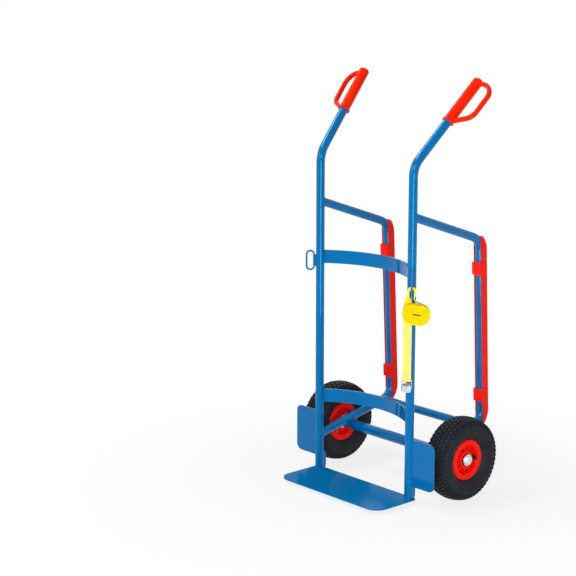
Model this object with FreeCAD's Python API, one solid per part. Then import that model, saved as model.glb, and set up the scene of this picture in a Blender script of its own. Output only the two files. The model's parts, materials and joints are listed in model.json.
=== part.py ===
import FreeCAD, Part
import math
import os

# Drum trolley: two bent uprights with a toe plate, trapezoid skids behind them,
# two pneumatic wheels on a fixed axle, hand grips, strap eyes and a lashing strap.
# Lengths are millimetres and angles are degrees.
# While a piece is built, Y is measured from the plane of the uprights, +Y to the rear,
# X is measured from the middle plane and Z from the floor.

Vec = FreeCAD.Vector
ORIGIN = Vec(0, 0, 0)
X_AXIS = Vec(1, 0, 0)
Y_AXIS = Vec(0, 1, 0)
Z_AXIS = Vec(0, 0, 1)
full_turn = 360.0
half_turn = 180.0

# Clearances that serve many pieces
weld_gap = 0.1
cut_overrun = 2.0

# Frame tubes
tube_d = 26.9
tube_wall = 2.3
upright_spacing = 400.0

# Handle ends of the uprights
handle_bend_height = 1035.0
handle_bend_radius = 75.0
handle_length = 331.0
handle_rake_angle = 43.6
handle_splay_angle = 7.3

# Skid tubes behind the uprights
skid_top_height = 886.0
skid_shoulder_height = 783.0
skid_shoulder_depth = 295.0
skid_heel_depth = 324.0
skid_foot_height = 128.5
skid_bend_radius = 48.0
cross_tube_depth = 284.0

# Wheels on the axle
wheel_d = 260.0
tyre_width = 85.0
tyre_to_skid_gap = 18.05
axle_depth = 150.0
axle_tube_d = 33.7
axle_d = 25.0
axle_tube_clearance = 0.3
lock_pin_d = 5.0
lock_pin_clearance = 0.1

# Toe plate, foot ribs and wheel guards
plate_thickness = 4.0
plate_lift = 12.5
plate_rear_overhang = 21.0
plate_front_overhang = 21.0
plate_rear_reach = 14.0
plate_front_reach = 158.0
plate_front_corner = 42.0
plate_rear_corner = 10.0
runner_inset = 40.0
runner_front_inset = 45.0
runner_rear_inset = 12.0
runner_corner = 12.0
rib_thickness = 6.0
rib_depth = 26.0
rib_height = 74.0
rib_top_slope = 8.0
rib_corner = 9.0
guard_thickness = 4.0
guard_width = 105.0
guard_bottom = 57.0
guard_top = 206.0
guard_corner = 20.0

# Bowed flat bars that carry the drum
bar_height = 42.0
bar_thickness = 6.0
bar_bow = 80.0
upper_bar_height = 709.5
lower_bar_height = 258.5

# Hand grips with knuckle guards
grip_length = 164.0
grip_clearance = 0.15
grip_sleeve_d = 32.0
grip_flange_d = 38.0
grip_flange_length = 4.0
grip_flange_taper = 5.0
grip_cap = 5.0
grip_cap_round = 5.0
loop_reach = 66.5
loop_turn_angle = 8.0
loop_width = 15.5
loop_thickness = 13.5
loop_edge_round = 6.0
loop_top_inset = 9.5
loop_low_rise = 41.0
loop_foot_rise = 9.5
loop_foot_reach = 16.0
loop_top_bend = 39.0
loop_low_bend = 36.0

# Plastic skid strips and the clips that hold them
strip_clearance = 0.3
strip_side_wall = 2.2
strip_sole = 4.0
strip_front_reach = 9.5
strip_corner = 3.0
strip_bend_share = 0.6
strip_trim = 0.2
clip_length = 40.0
clip_wall = 1.2
clip_front = 4.5
clip_gap = 0.2
clip_arm_reach = 7.0
clip_corner = 3.0
upper_clip_drop = 90.0
lower_clip_rise = 88.0

# Strap eyes, turned outwards and forwards
eye_turn_angle = -45.0
eye_height = 697.0
eye_length = 66.0
eye_width = 29.0
eye_wire_d = 6.0
eye_stand_off = 3.3
eye_tab_height = 37.0
eye_tab_thickness = 5.0

# Wheel parts
rim_flange_d = 127.0
rim_barrel_d = 100.0
rim_barrel_wall = 6.0
rim_lip_bevel = 3.0
rim_flange_thickness = 4.0
rim_width = 50.0
rim_web = 5.0
rim_split_gap = 0.1
hub_length = 50.0
hub_d = 54.0
hub_rib_count = 10
hub_rib_thickness = 4.0
hub_rib_drop = 7.0
roller_d = 6.0
roller_length = 38.0
roller_count = 10
roller_clearance = 0.08
cage_wall = 2.6
cage_end = 3.5
cage_slot_clearance = 0.25
bolt_d = 6.0
bolt_clearance = 0.2
bolt_circle_d = 72.0
bolt_count = 5
bolt_head_d = 10.0
bolt_head_height = 4.0
nut_height = 5.0
tyre_bead_width = 10.0
tyre_bead_clearance = 0.3
tyre_bead_height = 13.0
tyre_side_wall = 6.0
tyre_tread_wall = 9.0
tyre_shoulder_drop = 7.0
tyre_shoulder_inset = 7.0
tread_groove_width = 4.0
tread_groove_depth = 3.0
tread_groove_offset = 11.0
inner_tube_clearance = 0.4
inner_tube_wall = 2.0
valve_d = 8.8
valve_hole_clearance = 0.3
valve_offset = 9.0
valve_bend_radius = 9.0
valve_axis_drop = 15.0
valve_tip_reach = 25.0
valve_cap_d = 11.5
valve_cap_length = 11.0
valve_cap_overlap = 3.5
valve_cap_clearance = 0.2

# Washers and push-on caps on the axle ends
washer_d = 41.0
washer_thickness = 2.5
hub_end_gap = 0.4
cap_d = 36.0
cap_flange = 1.5
cap_dome_d = 30.0
cap_dome_height = 9.5
cap_grip_depth = 5.5
cap_clearance = 0.05

# Lashing strap with its roll
web_width = 25.0
web_thickness = 1.6
web_gathered_width = 12.0
web_saddle_lift = 2.6
web_clearance = 0.3
leg_side_shift = 11.0
leg_forward_shift = 19.0
leg_twist_length = 47.0
leg_length = 228.0
twist_sections = 5
roll_side_shift = 13.5
roll_hang = 35.0
roll_length = 84.0
roll_depth = 62.0
roll_turns = 12
roll_pitch = 2.4
roll_back_shift = 24.0
roll_entry_radius = 13.0

# Cam buckle on the strap's lower end
buckle_width = 31.0
buckle_wall = 2.0
buckle_length = 33.0
buckle_depth = 13.0
buckle_corner = 5.0
buckle_bar_d = 4.0
buckle_bar_clearance = 0.2
buckle_head = 5.0
buckle_back = 3.0
base_start = 9.0
pin_d = 4.0
pin_clearance = 0.06
pin_drop = 17.0
pin_forward = 6.2
pin_head = 1.2
pin_head_d = 6.0
cam_d = 11.0
cam_tooth = 1.2
cam_tooth_count = 5
cam_tooth_span_angle = 80.0
lever_side_gap = 0.4
lever_thickness = 2.4
lever_length = 17.5
lever_lean_angle = 8.0
lever_corner = 8.0
spring_d = 6.6
spring_length = 12.0
spring_clearance = 0.3

# Values worked out from the sizes above
tube_r = tube_d / 2
half_spacing = upright_spacing / 2
wheel_r = wheel_d / 2
wheel_offset = half_spacing + tube_r + tyre_to_skid_gap + tyre_width / 2
axle_tube_r = axle_tube_d / 2
axle_r = axle_d / 2
handle_rake = math.radians(handle_rake_angle)
handle_splay = math.radians(handle_splay_angle)
handle_dir = Vec(math.sin(handle_splay), math.cos(handle_splay) * math.sin(handle_rake),
                 math.cos(handle_splay) * math.cos(handle_rake))
handle_corner = Vec(half_spacing, 0, handle_bend_height)
handle_end = handle_corner + handle_dir * handle_length


def corner_arc(before, corner, after, radius):
    """Start, middle and end of the arc that rounds a corner."""
    back = (before - corner).normalize()
    ahead = (after - corner).normalize()
    half_angle = back.getAngle(ahead) / 2
    reach = radius / math.tan(half_angle)
    bisector = (back + ahead).normalize()
    middle = corner + bisector * (radius / math.sin(half_angle) - radius)
    return corner + back * reach, middle, corner + ahead * reach


def arc_stretch(before, corner, after, radius, from_share, to_share):
    """Start, middle and end of a stretch of the arc that rounds a corner."""
    start, middle, end = corner_arc(before, corner, after, radius)
    centre = corner + (middle - corner).normalize() * ((middle - corner).Length + radius)
    sweep = math.degrees((start - centre).getAngle(end - centre))
    axis = (start - centre).cross(end - centre)
    stops = []
    for share in (from_share, (from_share + to_share) / 2, to_share):
        turn = FreeCAD.Rotation(axis, sweep * share)
        stops.append(centre + turn.multVec(start - centre))
    return stops


def bent_path(points, radii):
    """Open wire through points, with each inner corner rounded by its radius."""
    edges = []
    start = points[0]
    for before, corner, after, radius in zip(points, points[1:], points[2:], radii):
        arc_start, middle, arc_end = corner_arc(before, corner, after, radius)
        edges.append(Part.LineSegment(start, arc_start).toShape())
        edges.append(Part.Arc(arc_start, middle, arc_end).toShape())
        start = arc_end
    edges.append(Part.LineSegment(start, points[-1]).toShape())
    return Part.Wire(edges)


def outline(points, radii):
    """Closed wire through points; a corner with a radius above zero is rounded."""
    starts = []
    ends = []
    edges = []
    count = len(points)
    for i in range(count):
        before, corner, after = points[i - 1], points[i], points[(i + 1) % count]
        if radii[i] > 0:
            arc_start, middle, arc_end = corner_arc(before, corner, after, radii[i])
            edges.append((i, Part.Arc(arc_start, middle, arc_end).toShape()))
            starts.append(arc_start)
            ends.append(arc_end)
        else:
            starts.append(corner)
            ends.append(corner)
    arcs = dict(edges)
    chain = []
    for i in range(count):
        if i in arcs:
            chain.append(arcs[i])
        chain.append(Part.LineSegment(ends[i], starts[(i + 1) % count]).toShape())
    return Part.Wire(chain)


def slab(wire, thickness_vector):
    """Solid made by moving a flat outline along a vector."""
    return Part.Face(wire).extrude(thickness_vector)


def rod(points, radii, diameter):
    """Round solid bar along a bent path."""
    path = bent_path(points, radii)
    section = Part.Wire([Part.Circle(points[0], points[1] - points[0], diameter / 2).toShape()])
    return path.makePipeShell([section], True, False)


def tube(points, radii, outer_d, wall):
    """Hollow round tube along a bent path."""
    return rod(points, radii, outer_d).cut(rod(points, radii, outer_d - 2 * wall))


def cylinder(start, end, diameter):
    """Round bar between two points."""
    span = end - start
    return Part.makeCylinder(diameter / 2, span.Length, start, span)


def spun(points_2d):
    """Solid turned about the X axis from (along, radius) points."""
    wire = Part.makePolygon([Vec(a, 0, r) for a, r in points_2d + points_2d[:1]])
    return Part.Face(wire).revolve(ORIGIN, X_AXIS, full_turn)


def collar(along_start, along_end, bore_d, outer_d):
    """Plain ring about the X axis."""
    outer = cylinder(X_AXIS * along_start, X_AXIS * along_end, outer_d)
    bore = cylinder(X_AXIS * (along_start - cut_overrun), X_AXIS * (along_end + cut_overrun), bore_d)
    return outer.cut(bore)


def around_x(shape, angle):
    """Copy of a shape turned about the X axis."""
    copy = shape.copy()
    copy.rotate(ORIGIN, X_AXIS, angle)
    return copy


def moved(shape, vector):
    """Copy of a shape moved by a vector."""
    copy = shape.copy()
    copy.translate(vector)
    return copy


def placed(shape, place, x_dir, y_dir, z_dir):
    """Copy of a shape with its own axes laid along three directions at a place."""
    matrix = FreeCAD.Matrix(x_dir.x, y_dir.x, z_dir.x, place.x,
                            x_dir.y, y_dir.y, z_dir.y, place.y,
                            x_dir.z, y_dir.z, z_dir.z, place.z, 0, 0, 0, 1)
    copy = shape.copy()
    copy.Placement = FreeCAD.Placement(matrix).multiply(copy.Placement)
    return copy


def mirrored(shape):
    """Left-hand copy of a right-hand piece."""
    return shape.mirror(ORIGIN, X_AXIS)


# Uprights
foot_height = plate_lift + plate_thickness + weld_gap


def upright():
    foot = Vec(half_spacing, 0, foot_height)
    return tube([foot, handle_corner, handle_end], [handle_bend_radius], tube_d, tube_wall)


def upright_envelope():
    """Space that pieces welded to the right upright keep out of."""
    return cylinder(Vec(half_spacing, 0, 0), handle_corner, tube_d + 2 * weld_gap)


# Skid tubes: each lower leg lies on the axle tube
leg_gap = tube_r + axle_tube_r + weld_gap
foot_to_axle = math.hypot(axle_depth, wheel_r - skid_foot_height)
leg_angle = math.atan2(wheel_r - skid_foot_height, axle_depth) + math.asin(leg_gap / foot_to_axle)


def leg_height(depth):
    """Height of a skid's lower leg at a distance behind the uprights."""
    return skid_foot_height + depth * math.tan(leg_angle)


skid_points = [Vec(half_spacing, 0, skid_top_height),
               Vec(half_spacing, skid_shoulder_depth, skid_shoulder_height),
               Vec(half_spacing, skid_heel_depth, leg_height(skid_heel_depth)),
               Vec(half_spacing, 0, skid_foot_height)]
skid_bends = [skid_bend_radius, skid_bend_radius]


def skid_tube():
    return tube(skid_points, skid_bends, tube_d, tube_wall).cut(upright_envelope())


def skid_envelope():
    """Space that pieces beside the right skid tube keep out of."""
    return rod(skid_points, skid_bends, tube_d + 2 * weld_gap)


def rear_cross_tube():
    height = leg_height(cross_tube_depth)
    left = Vec(-half_spacing, cross_tube_depth, height)
    right = Vec(half_spacing, cross_tube_depth, height)
    body = tube([left, right], [], tube_d, tube_wall)
    return body.cut(skid_envelope()).cut(mirrored(skid_envelope()))


# Axle assembly: tube, axle, lock pin, washers and push-on caps
hub_inner_face = wheel_offset - hub_length / 2
hub_outer_face = wheel_offset + hub_length / 2
inner_washer_end = hub_inner_face - hub_end_gap
inner_washer_start = inner_washer_end - washer_thickness
axle_tube_end = inner_washer_start - weld_gap
outer_washer_start = hub_outer_face + hub_end_gap
outer_washer_end = outer_washer_start + washer_thickness
cap_start = outer_washer_end + weld_gap
axle_end = cap_start + cap_grip_depth
axle_place = Vec(0, axle_depth, wheel_r)
lock_hole_d = lock_pin_d + 2 * lock_pin_clearance


def across_middle(diameter, half_length):
    """Upright round bar through the middle of the axle."""
    return cylinder(Z_AXIS * -half_length, Z_AXIS * half_length, diameter)


def axle_tube():
    body = collar(-axle_tube_end, axle_tube_end, axle_d + 2 * axle_tube_clearance, axle_tube_d)
    return moved(body.cut(across_middle(lock_hole_d, axle_tube_d)), axle_place)


def axle():
    body = cylinder(X_AXIS * -axle_end, X_AXIS * axle_end, axle_d)
    return moved(body.cut(across_middle(lock_hole_d, axle_tube_d)), axle_place)


def axle_lock_pin():
    return moved(across_middle(lock_pin_d, axle_tube_r), axle_place)


def washer(start):
    ring = collar(start, start + washer_thickness, axle_d + 2 * cap_clearance, washer_d)
    return moved(ring, axle_place)


def hub_cap():
    dome_r = cap_dome_d / 2
    crown_share = 0.55
    bevel_share = 0.88
    crown = cap_start + cap_flange
    top = cap_start + cap_dome_height
    bevel = axle_end + (top - axle_end) * crown_share
    dome = [(cap_start, 0), (cap_start, cap_d / 2), (crown, cap_d / 2), (crown, dome_r), (axle_end, dome_r),
            (bevel, dome_r * bevel_share), (top, dome_r * crown_share), (top, 0)]
    bore = cylinder(X_AXIS * (cap_start - cut_overrun), X_AXIS * axle_end, axle_d + 2 * cap_clearance)
    return moved(spun(dome).cut(bore), axle_place)


# Toe plate, foot ribs and wheel guards
def toe_plate():
    rear_half = half_spacing + plate_rear_overhang
    front_half = half_spacing + plate_front_overhang
    rear = plate_rear_reach
    front = -plate_front_reach
    corners = [Vec(-rear_half, rear, plate_lift), Vec(rear_half, rear, plate_lift),
               Vec(front_half, front, plate_lift), Vec(-front_half, front, plate_lift)]
    rounds = [plate_rear_corner, plate_rear_corner, plate_front_corner, plate_front_corner]
    return slab(outline(corners, rounds), Z_AXIS * plate_thickness)


def plate_runner():
    half = half_spacing - runner_inset
    rear = -runner_rear_inset
    front = runner_front_inset - plate_front_reach
    corners = [Vec(-half, rear, 0), Vec(half, rear, 0), Vec(half, front, 0), Vec(-half, front, 0)]
    return slab(outline(corners, [runner_corner] * len(corners)), Z_AXIS * (plate_lift - weld_gap))


def foot_rib():
    side = half_spacing - rib_thickness / 2
    top = rib_height
    heel = plate_rear_reach + weld_gap
    corners = [Vec(side, 0, foot_height), Vec(side, heel, foot_height), Vec(side, heel, plate_lift),
               Vec(side, rib_depth, plate_lift), Vec(side, rib_depth, top - rib_top_slope), Vec(side, 0, top)]
    body = slab(outline(corners, [0, 0, 0, rib_corner, rib_corner, 0]), X_AXIS * rib_thickness)
    return body.cut(upright_envelope())


def wheel_guard():
    front = -guard_thickness / 2
    guard_reach = half_spacing + guard_width
    corners = [Vec(half_spacing, front, guard_bottom), Vec(guard_reach, front, guard_bottom),
               Vec(guard_reach, front, guard_top), Vec(half_spacing, front, guard_top)]
    body = slab(outline(corners, [0, guard_corner, guard_corner, 0]), Y_AXIS * guard_thickness)
    return body.cut(upright_envelope()).cut(skid_envelope())


# Bowed bars
bow_radius = (half_spacing ** 2 + bar_bow ** 2) / (2 * bar_bow)
bow_centre = bar_bow - bow_radius


def bow_arc(offset, height):
    """Arc of the bow, moved outwards by an offset, between the two uprights."""
    radius = bow_radius + offset
    end_depth = bow_centre + math.sqrt(radius ** 2 - half_spacing ** 2)
    ends = [Vec(side * half_spacing, end_depth, height) for side in (-1, 1)]
    return Part.Arc(ends[0], Vec(0, bow_centre + radius, height), ends[1]).toShape(), ends


def crossbar(middle_height):
    bottom = middle_height - bar_height / 2
    front, front_ends = bow_arc(-bar_thickness / 2, bottom)
    rear, rear_ends = bow_arc(bar_thickness / 2, bottom)
    sides = [Part.LineSegment(a, b).toShape() for a, b in zip(front_ends, rear_ends)]
    body = slab(Part.Wire([front, sides[1], rear, sides[0]]), Z_AXIS * bar_height)
    return body.cut(upright_envelope()).cut(mirrored(upright_envelope()))


# Hand grips: local Z runs along the handle, local X points at the knuckle guard
handle_side = (X_AXIS - handle_dir * handle_dir.x).normalize()
handle_under = handle_dir.cross(handle_side).normalize()
loop_turn = math.radians(loop_turn_angle)
loop_dir = handle_side * math.cos(loop_turn) + handle_under * math.sin(loop_turn)
grip_foot = handle_end + handle_dir * (grip_cap + weld_gap - grip_length)


def rounded_bar_section(centre, across, up, width, height, edge_round):
    """Rounded rectangle about a centre, in the plane of two directions."""
    a = across * (width / 2)
    b = up * (height / 2)
    corners = [centre - a - b, centre + a - b, centre + a + b, centre - a + b]
    return outline(corners, [edge_round] * len(corners))


def grip():
    sleeve_r = grip_sleeve_d / 2
    flange_r = grip_flange_d / 2
    step = grip_flange_length + grip_flange_taper
    top = grip_length
    profile = [(0, 0), (0, flange_r), (grip_flange_length, flange_r), (step, sleeve_r),
               (top - grip_cap_round, sleeve_r), (top, sleeve_r - grip_cap_round), (top, 0)]
    sleeve = spun(profile)
    sleeve.rotate(ORIGIN, Y_AXIS, -half_turn / 2)
    path = [Vec(0, 0, top - loop_top_inset), Vec(loop_reach, 0, top - loop_top_inset),
            Vec(loop_reach, 0, loop_low_rise), Vec(loop_foot_reach, 0, loop_foot_rise)]
    section = rounded_bar_section(path[0], Y_AXIS, Z_AXIS, loop_width, loop_thickness, loop_edge_round)
    loop = bent_path(path, [loop_top_bend, loop_low_bend]).makePipeShell([section], True, False)
    bore = cylinder(Z_AXIS * -cut_overrun, Z_AXIS * (top - grip_cap), tube_d + 2 * grip_clearance)
    body = sleeve.fuse(loop).removeSplitter().cut(bore)
    return placed(body, grip_foot, loop_dir, handle_dir.cross(loop_dir), handle_dir)


# Skid strips follow the rear of the skid tube round both bends
strip_inner = tube_r + strip_clearance
strip_outer = strip_inner + strip_side_wall
strip_back = strip_inner + strip_sole
run_dir = (skid_points[2] - skid_points[1]).normalize()
run_out = X_AXIS.cross(run_dir).normalize()


def strip_section(place, across, out):
    """U section, open to the front, about the axis of the skid tube."""
    def at(a, b):
        return place + across * a + out * b
    front = -strip_front_reach
    curve = math.cos(math.radians(half_turn / 4))
    slant = strip_inner * curve
    inner_left = Part.Arc(at(-strip_inner, 0), at(-slant, slant), at(0, strip_inner))
    inner_right = Part.Arc(at(0, strip_inner), at(slant, slant), at(strip_inner, 0))
    left_start, left_middle, left_end = corner_arc(at(-strip_outer, front), at(-strip_outer, strip_back),
                                                   at(strip_outer, strip_back), strip_corner)
    right_start, right_middle, right_end = corner_arc(at(-strip_outer, strip_back),
                                                      at(strip_outer, strip_back),
                                                      at(strip_outer, front), strip_corner)
    edges = [Part.LineSegment(at(-strip_outer, front), left_start),
             Part.Arc(left_start, left_middle, left_end),
             Part.LineSegment(left_end, right_start), Part.Arc(right_start, right_middle, right_end),
             Part.LineSegment(right_end, at(strip_outer, front)),
             Part.LineSegment(at(strip_outer, front), at(strip_inner, front)),
             Part.LineSegment(at(strip_inner, front), at(strip_inner, 0)), inner_right, inner_left,
             Part.LineSegment(at(-strip_inner, 0), at(-strip_inner, front)),
             Part.LineSegment(at(-strip_inner, front), at(-strip_outer, front))]
    return Part.Wire(Part.__sortEdges__([edge.toShape() for edge in edges]))


def skid_strip():
    top = arc_stretch(*skid_points[:3], skid_bend_radius, 1 - strip_bend_share, 1)
    low = arc_stretch(*skid_points[1:], skid_bend_radius, 0, strip_bend_share)
    upper_arc = Part.Arc(*top).toShape()
    path = Part.Wire([upper_arc, Part.LineSegment(top[-1], low[0]).toShape(), Part.Arc(*low).toShape()])
    start_dir = upper_arc.tangentAt(upper_arc.FirstParameter)
    start_out = X_AXIS.cross(start_dir).normalize()
    section = strip_section(top[0], X_AXIS, start_out)
    strip = path.makePipeShell([section], True, False)
    run = (low[0] - top[-1]).normalize()
    out = X_AXIS.cross(run).normalize()
    near = out * -(strip_front_reach + strip_trim)
    far = out * -(strip_front_reach + skid_bend_radius + strip_back)
    high = skid_points[1] - X_AXIS * strip_back - run * skid_bend_radius
    foot = skid_points[2] - X_AXIS * strip_back + run * skid_bend_radius
    front = [high + near, foot + near, foot + far, high + far]
    return strip.cut(slab(outline(front, [0] * len(front)), X_AXIS * (2 * strip_back)))


def strip_clip(drop):
    """Clip that closes a strip at the front, at a distance down the straight run."""
    place = skid_points[1] + run_dir * (drop - clip_length / 2)
    half = strip_outer + clip_gap + clip_wall
    front = strip_inner + clip_front

    def at(a, b):
        return place + X_AXIS * a + run_out * b
    corners = [at(-half, -front), at(half, -front), at(half, clip_arm_reach), at(-half, clip_arm_reach)]
    shell = outline(corners, [clip_corner, clip_corner, 0, 0])
    room = strip_outer + clip_gap
    slot = outline([at(-room, -strip_front_reach - clip_gap), at(room, -strip_front_reach - clip_gap),
                    at(room, half), at(-room, half)], [0] * 4)
    body = slab(shell, run_dir * clip_length).cut(slab(slot, run_dir * clip_length))
    bore_end = place + run_dir * (clip_length + cut_overrun)
    bore = cylinder(place - run_dir * cut_overrun, bore_end, 2 * strip_inner)
    return body.cut(bore)


# Strap eyes: local X runs sideways past the upright, local Y up, local Z out of the upright
eye_turn = math.radians(eye_turn_angle)
eye_out = Vec(math.cos(eye_turn), math.sin(eye_turn), 0)
eye_side = Z_AXIS.cross(eye_out)
eye_place = Vec(half_spacing, 0, eye_height)
eye_near = tube_r + eye_stand_off + eye_wire_d / 2
eye_far = eye_near + eye_width - eye_wire_d
eye_bend = (eye_width - eye_wire_d) / 2
eye_middle = (eye_near + eye_far) / 2
eye_straight = (eye_length - eye_width) / 2


def at_eye(shape):
    """Copy of a shape moved from the eye's own axes to its place on the right upright."""
    return placed(shape, eye_place, eye_side, Z_AXIS, eye_out)


def strap_eye():
    wire_r = eye_wire_d / 2
    body = None
    for end in (-1, 1):
        bend = Part.makeTorus(eye_bend, wire_r, Vec(0, end * eye_straight, eye_middle), X_AXIS)
        half = Part.makeBox(2 * eye_width, eye_width, 2 * eye_width)
        half_low = end * (eye_straight + eye_width / 2) - eye_width / 2
        half.translate(Vec(-eye_width, half_low, eye_middle - eye_width))
        piece = bend.common(half)
        body = piece if body is None else body.fuse(piece)
    for out in (eye_near, eye_far):
        body = body.fuse(cylinder(Vec(0, -eye_straight, out), Vec(0, eye_straight, out), eye_wire_d))
    return at_eye(body.removeSplitter())


def eye_tab():
    body = Part.makeBox(eye_tab_thickness, eye_tab_height, eye_near)
    body.translate(Vec(-eye_tab_thickness / 2, -eye_tab_height / 2, 0))
    wire_end = Vec(0, eye_tab_height, eye_near)
    wire = cylinder(Vec(0, -eye_tab_height, eye_near), wire_end, eye_wire_d + 2 * weld_gap)
    post = cylinder(Y_AXIS * -eye_tab_height, Y_AXIS * eye_tab_height, tube_d + 2 * weld_gap)
    return at_eye(body.cut(wire).cut(post))


# Wheels: turned about the X axis at the wheel's middle, +X outwards
half_rim = rim_width / 2
barrel_r = rim_barrel_d / 2
barrel_inner_r = barrel_r - rim_barrel_wall
flange_r = rim_flange_d / 2
roller_circle = axle_r + roller_clearance + roller_d / 2
hub_bore_d = 2 * (roller_circle + roller_d / 2 + roller_clearance)
bolt_circle = bolt_circle_d / 2
pocket_angle = full_turn / hub_rib_count
bolt_angles = [pocket_angle + full_turn * i / bolt_count for i in range(bolt_count)]
valve_axis_r = barrel_r - valve_axis_drop


def rim_half():
    """Outer half of the split rim, open to +X."""
    face = rim_split_gap / 2
    outer = half_rim + rim_flange_thickness
    profile = [(face, hub_bore_d / 2), (hub_length / 2, hub_bore_d / 2), (hub_length / 2, hub_d / 2),
               (rim_web, hub_d / 2), (rim_web, barrel_inner_r), (outer - rim_lip_bevel, barrel_inner_r),
               (outer, barrel_inner_r + rim_lip_bevel),
               (outer, flange_r - rim_flange_thickness / 2), (outer - rim_flange_thickness / 2, flange_r),
               (half_rim, flange_r), (half_rim, barrel_r), (face, barrel_r)]
    body = spun(profile)
    ribs = []
    for i in range(hub_rib_count):
        rib = Part.makeBox(half_rim - hub_rib_drop - rim_web / 2, hub_rib_thickness, barrel_r - hub_d / 2)
        rib.translate(Vec(rim_web / 2, -hub_rib_thickness / 2, hub_d / 2 - rim_barrel_wall / 2))
        ribs.append(around_x(rib, pocket_angle * (i + 1 / 2)))
    body = body.fuse(ribs).removeSplitter()
    hole_end = Vec(2 * rim_web, 0, bolt_circle)
    hole = cylinder(Vec(-rim_web, 0, bolt_circle), hole_end, bolt_d + 2 * bolt_clearance)
    return body.cut([around_x(hole, angle) for angle in bolt_angles])


def rim_outer():
    hole = cylinder(Vec(valve_offset, 0, valve_axis_r), Vec(valve_offset, 0, flange_r),
                    valve_d + 2 * valve_hole_clearance)
    return rim_half().cut(hole)


def rim_inner():
    return mirrored(rim_half())


def cavity_wire(inset):
    """Closed outline of the space inside the tyre, drawn in by an inset."""
    bottom = barrel_r + inset
    throat = half_rim - tyre_bead_clearance - tyre_bead_width - inset
    bead_top = barrel_r + tyre_bead_height
    side = tyre_width / 2 - tyre_side_wall - inset
    crown = wheel_r - tyre_tread_wall - inset
    side_r = (bead_top + crown) / 2
    curve_share = 0.75
    low_r = bead_top + (side_r - bead_top) * (1 - curve_share)
    low = Vec(throat + (side - throat) * curve_share, 0, low_r)
    shoulder = Vec(side - tyre_shoulder_inset, 0, crown - tyre_shoulder_drop)
    high_r = side_r + (shoulder.z - side_r) * curve_share
    high = Vec(side - tyre_shoulder_inset * (1 - curve_share), 0, high_r)
    top = Vec(shoulder.x / 2, 0, shoulder.z + tyre_shoulder_drop * curve_share)
    rising = [(Vec(throat, 0, bead_top), low, Vec(side, 0, side_r)),
              (Vec(side, 0, side_r), high, shoulder), (shoulder, top, Vec(0, 0, crown))]
    return section_wire(throat, bottom, rising)


def section_wire(half_foot, foot_r, rising):
    """Closed outline, alike on both sides, from its foot and the arcs of its right side."""
    shoulder_foot = rising[0][0]
    edges = [Part.LineSegment(Vec(-half_foot, 0, foot_r), Vec(half_foot, 0, foot_r)),
             Part.LineSegment(Vec(half_foot, 0, foot_r), shoulder_foot)]
    for a, b, c in rising:
        edges.append(Part.Arc(a, b, c))
    for a, b, c in reversed(rising):
        edges.append(Part.Arc(Vec(-c.x, 0, c.z), Vec(-b.x, 0, b.z), Vec(-a.x, 0, a.z)))
    edges.append(Part.LineSegment(Vec(-half_foot, 0, shoulder_foot.z), Vec(-half_foot, 0, foot_r)))
    return Part.Wire([edge.toShape() for edge in edges])


def tyre_wire():
    """Closed outline of the whole tyre section."""
    bottom = barrel_r + tyre_bead_clearance
    bead = half_rim - tyre_bead_clearance
    bead_top = flange_r
    side = tyre_width / 2
    side_r = (bead_top + wheel_r) / 2
    shoulder_x = side - tyre_shoulder_inset
    shoulder_r = wheel_r - tyre_shoulder_drop
    bulge_share = 0.78
    low = Vec(bead + (side - bead) * bulge_share, 0, bead_top + (side_r - bead_top) * (1 - bulge_share) * 2)
    high_share = 0.62
    high = Vec(side - tyre_shoulder_inset * (1 - high_share), 0, side_r + (shoulder_r - side_r) * high_share)
    crown_share = 0.75
    crown = Vec(shoulder_x / 2, 0, shoulder_r + tyre_shoulder_drop * crown_share)
    rising = [(Vec(bead, 0, bead_top), low, Vec(side, 0, side_r)),
              (Vec(side, 0, side_r), high, Vec(shoulder_x, 0, shoulder_r)),
              (Vec(shoulder_x, 0, shoulder_r), crown, Vec(0, 0, wheel_r))]
    return section_wire(bead, bottom, rising)


def turned(wire):
    """Solid turned about the X axis from a closed outline."""
    return Part.Face(wire).revolve(ORIGIN, X_AXIS, full_turn)


def tyre():
    body = turned(tyre_wire()).cut(turned(cavity_wire(0)))
    for side in (-1, 1):
        start = side * tread_groove_offset - tread_groove_width / 2
        body = body.cut(collar(start, start + tread_groove_width, wheel_d - 2 * tread_groove_depth,
                               wheel_d + 2 * tread_groove_depth))
    return body


def inner_tube():
    outer = turned(cavity_wire(inner_tube_clearance))
    return outer.cut(turned(cavity_wire(inner_tube_clearance + inner_tube_wall)))


def valve():
    top = Vec(valve_offset, 0, barrel_r + inner_tube_clearance / 2)
    corner = Vec(valve_offset, 0, valve_axis_r)
    return rod([top, corner, Vec(valve_tip_reach, 0, valve_axis_r)], [valve_bend_radius], valve_d)


def valve_cap():
    start = valve_tip_reach - valve_cap_overlap
    axis = Z_AXIS * valve_axis_r
    body = cylinder(axis + X_AXIS * start, axis + X_AXIS * (start + valve_cap_length),
                    valve_cap_d + 2 * valve_cap_clearance)
    bore_end = axis + X_AXIS * (valve_tip_reach + valve_cap_clearance)
    bore = cylinder(axis + X_AXIS * (start - cut_overrun), bore_end, valve_d + 2 * valve_cap_clearance)
    return body.cut(bore)


def hexagon(start, height, across):
    """Hexagonal head about the X axis."""
    radius = across / math.sqrt(3)
    sides = 6
    angles = [2 * math.pi * i / sides for i in range(sides + 1)]
    wire = Part.makePolygon([Vec(start, radius * math.cos(a), radius * math.sin(a)) for a in angles])
    return slab(wire, X_AXIS * height)


def rim_bolts():
    shank = cylinder(X_AXIS * -(rim_web + nut_height), X_AXIS * rim_web, bolt_d)
    bolt = moved(shank.fuse(hexagon(rim_web, bolt_head_height, bolt_head_d)), Z_AXIS * bolt_circle)
    return Part.makeCompound([around_x(bolt, angle) for angle in bolt_angles])


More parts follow.
